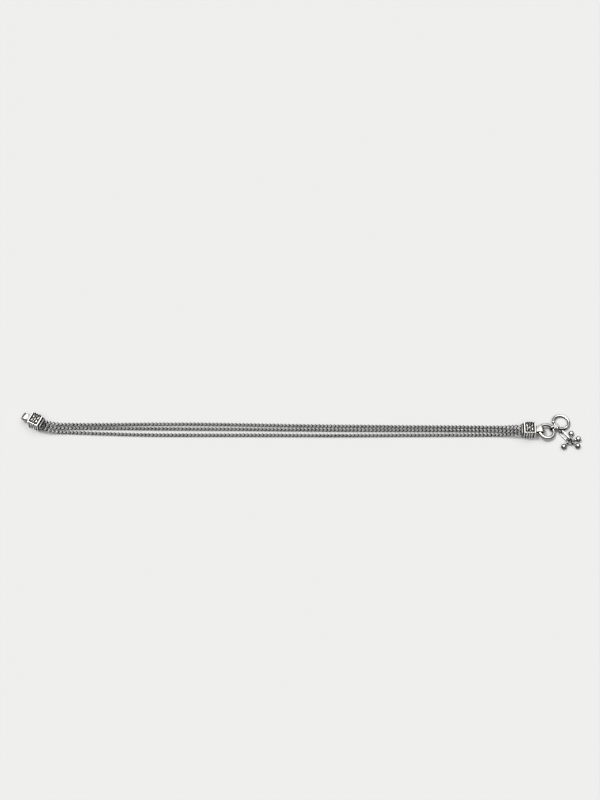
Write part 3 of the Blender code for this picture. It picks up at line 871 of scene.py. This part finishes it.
def makeHook():
    place = hookPlace()
    joint = place @ Vector((hookRadius() * mm, 0, 0))
    tip = place @ (hookRadius() * mm * heading(hook["sweep"]))
    shape = bmesh.new()
    addRing(shape, 2 * hookRadius(), hook["wire"], place, sweep=hook["sweep"])
    addBall(shape, (hook["tip"],) * 3, Matrix.Translation(tip))
    addBall(shape, (hook["jointBead"],) * 3, Matrix.Translation(joint))
    eye, dropEye = hookEyeMiddle(), dropEyeMiddle()
    addRing(shape, 2 * eyeRadius(), hook["eyeWire"], uprightRing(eye, hook["eyeAt"]), segments=56, sides=20)
    addRing(shape, 2 * dropEyeRadius(), hook["dropEyeWire"],
            uprightRing(dropEye, link["heading"], hook["dropEyeLean"]), segments=48, sides=18)
    height = eye.z / mm + jumpRing["wire"] / 2 + rosette["clearance"]
    middle = joint + Vector(rosette["shift"]).to_3d() * mm
    postLong = height + rosette["thickness"] / 2 - joint.z / mm
    addRod(shape, rosette["post"], postLong, Matrix.Translation(joint) @ moved(0, 0, postLong / 2))
    addRosette(shape, middle, height)
    dark = (middle / mm, eye / mm, dropEye / mm)
    mesh = soldered("claspHook", shape, hook["voxel"])
    setPolishAndShade(mesh, lambda spot: hookPolish(spot, dark, height))
    finished("claspHook", paintedShadeBelow(mesh), wireSilver, "clasp_hook")


# Drop: an oval link, a ring and four bells

link = {
    "length": 6.9,
    "width": 2.7,
    "wire": 0.7,
    "play": 0.2,                         # in the hook's small eye
    "heading": 308.0,
    "roll": 52.0,
    "polishAndShade": 0.74,
}

clusterRing = {
    "diameter": 3.7,
    "wire": 0.7,
    "slack": 0.25,                       # in the link's end
    "roll": -14.0,
    "height": 1.3,
    "seam": 1.4,                         # degrees of the ring
    "seamAt": 100.0,
    "polishAndShade": 0.70,
}

bell = {
    "diameter": 2.6,
    "wall": 0.22,
    "eyeWire": 0.42,
    "eyePlay": 0.34,
    "eyeShift": 0.12,                    # outward, on the ring's wire
    "neckLength": 0.25,
    "neckDiameter": 0.9,
    "neckSunk": 0.7,                     # share of the ball's wall
    "slotWidth": 0.32,
    "slotLength": 1.7,
    "slotHole": 0.56,                    # round hole at each end of the slot
    "slotDepth": 0.8,
    "seamWire": 0.14,                    # ridge where the two halves meet
    "voxel": 0.046,
    "neckPolish": 0.72,
    # painted shade inside the hollow ball
    "insideShade": 0.35,
    "skinFrom": 0.86,                    # share of the ball's radius where the polish starts its rise
    "skinFade": 0.1,
    "seamDark": 0.5,                     # share of the skin's polish that the seam lacks
    "seamReach": 0.12,
}

# Where each bell hangs round the ring, and which way it lies, seen from above
bellsRound = {
    "bell_front_left": (224.0, 222.0),
    "bell_front_right": (318.0, 329.0),
    "bell_right": (10.0, 20.0),
    "bell_back": (66.0, 84.0),
}


def linkPlace():
    reach = (link["length"] - link["wire"]) / 2
    turn = turned(link["heading"], "Z") @ turned(link["roll"], "X")
    return Matrix.Translation(dropEyeMiddle() + turn @ Vector((reach * mm, 0, 0))) @ turn


def makeLink():
    # Two half rings joined by straight wire
    shape = bmesh.new()
    bend = (link["width"] - link["wire"]) / 2
    straight = (link["length"] - link["width"]) / 2
    rims = []
    for turn in (0, 180):
        around = turned(turn, "Z") @ moved(straight, 0, 0)
        start = around @ moved(0, -bend, 0) @ turned(90, "Y")
        section = bmesh.ops.create_circle(shape, cap_ends=False, segments=20,
                                          radius=link["wire"] / 2 * mm, matrix=start)["verts"]
        first = edgesOf(section)
        swept = bmesh.ops.spin(shape, geom=section + first, cent=around.translation, axis=(0, 0, 1),
                               angle=math.pi, steps=32)
        last = [item for item in swept["geom_last"] if isinstance(item, bmesh.types.BMEdge)]
        rims.append((first, last))
    bmesh.ops.bridge_loops(shape, edges=rims[0][0] + rims[1][1])
    bmesh.ops.bridge_loops(shape, edges=rims[1][0] + rims[0][1])
    bmesh.ops.recalc_face_normals(shape, faces=shape.faces)
    bmesh.ops.transform(shape, matrix=linkPlace(), verts=shape.verts)
    mesh = setPolishAndShade(meshFrom("dropLink", shape), lambda spot: link["polishAndShade"])
    finished("dropLink", paintedShadeBelow(mesh), wireSilver, "drop_link")


def clusterRadius():
    return (clusterRing["diameter"] - clusterRing["wire"]) / 2


def clusterPlace():
    linkEnd = linkPlace() @ Vector(((link["length"] - link["wire"]) / 2 * mm, 0, 0))
    inside = (link["wire"] + clusterRing["wire"]) / 2 + clusterRing["slack"]
    middle = linkEnd + heading(link["heading"]) * (clusterRadius() - inside) * mm
    middle.z = clusterRing["height"] * mm
    return Matrix.Translation(middle) @ turned(link["heading"], "Z") @ turned(clusterRing["roll"], "X")


def makeClusterRing():
    shape = bmesh.new()
    place = clusterPlace() @ turned(clusterRing["seamAt"], "Z")
    addRing(shape, 2 * clusterRadius(), clusterRing["wire"], place, segments=72, sides=20,
            sweep=360 - clusterRing["seam"])
    mesh = setPolishAndShade(meshFrom("clusterRing", shape), lambda spot: clusterRing["polishAndShade"])
    finished("clusterRing", paintedShadeBelow(mesh), wireSilver, "cluster_ring", sharpAngle=40)


def bellEyeOutside():
    return clusterRing["wire"] / 2 + bell["eyePlay"] + bell["eyeWire"]


def bellReach():
    return bellEyeOutside() + bell["neckLength"] + bell["diameter"] / 2


def slottedBall(ballMiddle):
    # Hollow ball, its slot opposite its neck, with a round hole at each end of the slot
    ball = bmesh.new()
    place = ballMiddle @ turned(90, "Y")
    addBall(ball, (bell["diameter"],) * 3, place, segments=56, rings=36)
    inside = addBall(ball, (bell["diameter"] - 2 * bell["wall"],) * 3, place, segments=56, rings=36)
    bmesh.ops.reverse_faces(ball, faces=facesOf(inside))
    far = ballMiddle @ moved(bell["diameter"] / 2, 0, 0)
    slot = bmesh.new()
    size = sized(2 * bell["slotDepth"] * mm, bell["slotWidth"] * mm, bell["slotLength"] * mm)
    bmesh.ops.create_cube(slot, size=1.0, matrix=far @ size)
    ball = cutOut(ball, slot)
    for end in (-1, 1):
        hole = bmesh.new()
        start = far @ moved(0, 0, end * bell["slotLength"] / 2) @ turned(90, "Y")
        addRod(hole, bell["slotHole"], 2 * bell["slotDepth"], start)
        ball = cutOut(ball, hole)
    return ball


def bellPolishAndShade(spot):
    # The eye and the neck are darker than the ball, the ball's seam darker than its skin, and its inside
    # painted dark as shade
    if spot.x < bellReach() - bell["diameter"] / 2:
        return bell["neckPolish"]
    out = (spot - Vector((bellReach(), 0, 0))).length / (bell["diameter"] / 2)
    seam = bell["seamDark"] * math.exp(-((spot.x - bellReach()) / bell["seamReach"]) ** 2)
    skin = eased((out - bell["skinFrom"]) / bell["skinFade"]) * (1 - seam)
    return bell["insideShade"] + (1 - bell["insideShade"]) * skin


def bellMesh():
    # Hung by its eye, which is round the origin, with its ball along +X
    ballMiddle = moved(bellReach(), 0, 0)
    shape = slottedBall(ballMiddle)
    addRing(shape, bell["diameter"], bell["seamWire"], ballMiddle @ turned(90, "Y"), segments=56, sides=8)
    eyeMiddle = clusterRing["wire"] / 2 + bell["eyePlay"] + bell["eyeWire"] / 2
    neckEnd = bellReach() - bell["diameter"] / 2 + bell["wall"] * bell["neckSunk"]
    neckLong = neckEnd - eyeMiddle
    neck = moved(eyeMiddle + neckLong / 2, 0, 0) @ turned(90, "Y")
    addRod(shape, bell["neckDiameter"], neckLong, neck)
    addRing(shape, 2 * eyeMiddle, bell["eyeWire"], turned(90, "X"), segments=44, sides=14)
    return setPolishAndShade(soldered("bell", shape, bell["voxel"]), bellPolishAndShade)


def bellPlace(at, way):
    wire = clusterPlace() @ (clusterRadius() * mm * heading(at - link["heading"]))
    middle = wire + heading(way) * bell["eyeShift"] * mm
    middle.z = max(middle.z, bellEyeOutside() * mm)
    dip = math.asin((middle.z / mm - bell["diameter"] / 2) / bellReach())
    return Matrix.Translation(middle) @ turned(way, "Z") @ Matrix.Rotation(dip, 4, "Y")


def makeBells():
    pattern = bellMesh()
    for node, (at, way) in bellsRound.items():
        mesh = pattern.copy()
        mesh.transform(bellPlace(at, way))
        name = "bell" + "".join(word.capitalize() for word in node.split("_")[1:])
        finished(name, paintedShadeBelow(mesh), wireSilver, node)


makeJumpRing()
makeHook()
makeLink()
makeClusterRing()
makeBells()


# Floor, light and camera

setting = {
    "floorColour": (0.474, 0.474, 0.471, 1),
    "floorRough": 0.9,
    "floorGloss": 0.1,
    "floorSize": 24000.0,
    "worldHigh": 2.4,                    # strength of the bright ceiling over the table
    "worldLow": 0.02,                    # strength of the dim room round it
    "lowUpTo": 0.62,                     # height of the dim part, as a share of straight up
    "highFrom": 0.82,
    "sunStrength": 2.2,
    "sunSize": 12.0,                     # degrees across
    "sunFrom": (-0.34, 0.16, 0.92),
}

cameraView = {
    "distance": 908.6,
    "elevation": 61.0,
    "focal": 85.6,
    "sensor": 36.0,
    "nearest": 10.0,
    "aim": (-0.43, 17.74, 0.0),
}


def makeFloor():
    shape = bmesh.new()
    bmesh.ops.create_grid(shape, x_segments=1, y_segments=1, size=setting["floorSize"] / 2 * mm)
    floor = linked("floor", meshFrom("floor", shape))
    material, shader = nodeMaterial("palePaper")
    shader.inputs["Base Color"].default_value = setting["floorColour"]
    shader.inputs["Roughness"].default_value = setting["floorRough"]
    shader.inputs["Specular IOR Level"].default_value = setting["floorGloss"]
    floor.data.materials.append(material)


def makeSky():
    world = bpy.data.worlds.new("studio")
    bpy.context.scene.world = world
    world.use_nodes = True
    nodes, links = world.node_tree.nodes, world.node_tree.links
    way = nodes.new("ShaderNodeTexCoord")
    parts = nodes.new("ShaderNodeSeparateXYZ")
    sky = nodes.new("ShaderNodeMapRange")
    sky.interpolation_type = "SMOOTHSTEP"
    sky.inputs["From Min"].default_value = setting["lowUpTo"]
    sky.inputs["From Max"].default_value = setting["highFrom"]
    sky.inputs["To Min"].default_value = setting["worldLow"]
    sky.inputs["To Max"].default_value = setting["worldHigh"]
    links.new(way.outputs["Generated"], parts.inputs[0])
    links.new(parts.outputs["Z"], sky.inputs["Value"])
    links.new(sky.outputs["Result"], nodes["Background"].inputs["Strength"])
    nodes["Background"].inputs["Color"].default_value = (1, 1, 1, 1)


def makeSun():
    lamp = bpy.data.lights.new("softSun", "SUN")
    lamp.energy = setting["sunStrength"]
    lamp.angle = math.radians(setting["sunSize"])
    sun = linked("softSun", lamp)
    sun.rotation_euler = (-Vector(setting["sunFrom"])).to_track_quat("-Z", "Y").to_euler()


def makeCamera():
    lens = bpy.data.cameras.new("camera")
    lens.sensor_width = cameraView["sensor"]
    lens.lens = cameraView["focal"]
    lens.clip_start = cameraView["nearest"] * mm
    eye = linked("camera", lens)
    raised = math.radians(cameraView["elevation"])
    away = Vector((0, -math.cos(raised), math.sin(raised)))
    eye.location = (Vector(cameraView["aim"]) + away * cameraView["distance"]) * mm
    eye.rotation_euler = (-away).to_track_quat("-Z", "Y").to_euler()
    bpy.context.scene.camera = eye


makeFloor()
makeSky()
makeSun()
makeCamera()
bpy.context.scene.view_settings.view_transform = "Standard"
print("floor, light and camera are set")
